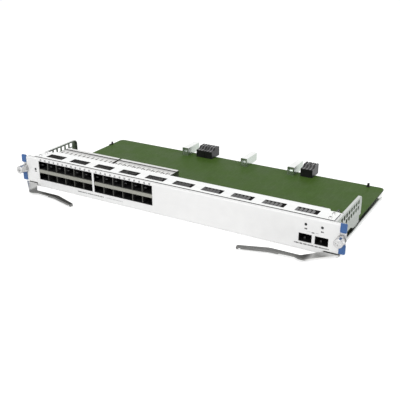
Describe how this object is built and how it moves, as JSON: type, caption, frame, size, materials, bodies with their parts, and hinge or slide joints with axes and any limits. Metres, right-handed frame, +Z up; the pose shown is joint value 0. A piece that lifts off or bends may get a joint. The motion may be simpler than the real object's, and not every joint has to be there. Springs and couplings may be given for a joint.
{
  "type": "switch line card",
  "caption": "Flat network switch card: wide front panel with stacked optical module ports, vented top shelf, two ejector levers, captive screws and a bare board on a tray.",
  "frame": {"origin": "middle of the front panel's bottom edge, on the panel's front face", "axes": "+X to the right along the panel seen from the front, +Y into the card towards the backplane, +Z up"},
  "size_m": [0.438, 0.2493, 0.0398],
  "materials": {
    "panel_paint": "fine matt powder coat, pale grey",
    "plated_sheet": "bright zinc-plated sheet, satin",
    "cage_sheet": "thin nickel-plated sheet, satin",
    "lever_steel": "plated pressed steel, satin",
    "turned_steel": "nickel-plated turned steel",
    "spring_wire": "drawn wire",
    "ear_plastic": "moulded, blue, satin",
    "foam": "conductive foam strip",
    "board_laminate": "green solder-masked glass laminate",
    "socket_plastic": "black moulded",
    "connector_plastic": "black moulded",
    "guide_cast": "bright cast metal",
    "light_pipe": "clear moulded"
  },
  "bodies": {
    "card": {"front_panel": "panel_paint", "vent_shelf": "plated_sheet", "shelf_screws": "turned_steel", "seam_gasket": "foam", "bottom_tray": "plated_sheet", "board_standoffs": "turned_steel", "main_board": "board_laminate", "uplink_cage_a": "cage_sheet", "uplink_cage_b": "cage_sheet", "uplink_sockets": "socket_plastic", "light_pipes": "light_pipe", "guide_block_a": "guide_cast", "guide_block_b": "guide_cast", "guide_block_c": "guide_cast", "backplane_connector_a": "connector_plastic", "backplane_connector_b": "connector_plastic", "backplane_connector_c": "connector_plastic", "board_post": "connector_plastic", "edge_clip": "connector_plastic", "side_plate_left": "plated_sheet", "ear_bracket_left": "plated_sheet", "ear_cover_lower_left": "ear_plastic", "ear_cover_upper_left": "ear_plastic", "ferrule_left": "turned_steel", "lever_pin_left": "turned_steel", "screw_spring_left": "spring_wire", "side_plate_right": "plated_sheet", "ear_bracket_right": "plated_sheet", "ear_cover_lower_right": "ear_plastic", "ear_cover_upper_right": "ear_plastic", "ferrule_right": "turned_steel", "lever_pin_right": "turned_steel", "screw_spring_right": "spring_wire", "port_cage_a": "cage_sheet", "cage_rear_cover_a": "cage_sheet", "cage_base_a": "cage_sheet", "row_separator_a": "cage_sheet", "cage_dividers_a": "cage_sheet", "host_sockets_a": "socket_plastic", "port_cage_b": "cage_sheet", "cage_rear_cover_b": "cage_sheet", "cage_base_b": "cage_sheet", "row_separator_b": "cage_sheet", "cage_dividers_b": "cage_sheet", "host_sockets_b": "socket_plastic"},
    "lever_left": {"lever_left": "lever_steel"},
    "screw_carrier_left": {"screw_clip_left": "turned_steel"},
    "thumbscrew_left": {"thumbscrew_left": "turned_steel"},
    "lever_right": {"lever_right": "lever_steel"},
    "screw_carrier_right": {"screw_clip_right": "turned_steel"},
    "thumbscrew_right": {"thumbscrew_right": "turned_steel"}
  },
  "joints": [
    {"name": "lever_left_swing", "type": "hinge", "parent": "card", "child": "lever_left", "pos_m": [-0.205, 0.0075, 0.00345], "axis": [0, 0, -1], "range_deg": [0, 55]},
    {"name": "screw_left_push", "type": "slide", "parent": "card", "child": "screw_carrier_left", "axis": [0, 1, 0], "range_m": [0, 0.003], "stiffness_N_per_m": 400, "springref_m": -0.001, "deforming": ["screw_spring_left"]},
    {"name": "screw_left_turn", "type": "hinge", "parent": "screw_carrier_left", "child": "thumbscrew_left", "pos_m": [-0.2136, 0, 0.0221], "axis": [0, 1, 0], "continuous": true},
    {"name": "lever_right_swing", "type": "hinge", "parent": "card", "child": "lever_right", "pos_m": [0.205, 0.0075, 0.00345], "axis": [0, 0, 1], "range_deg": [0, 55]},
    {"name": "screw_right_push", "type": "slide", "parent": "card", "child": "screw_carrier_right", "axis": [0, 1, 0], "range_m": [0, 0.003], "stiffness_N_per_m": 400, "springref_m": -0.001, "deforming": ["screw_spring_right"]},
    {"name": "screw_right_turn", "type": "hinge", "parent": "screw_carrier_right", "child": "thumbscrew_right", "pos_m": [0.2136, 0, 0.0221], "axis": [0, 1, 0], "continuous": true}
  ]
}
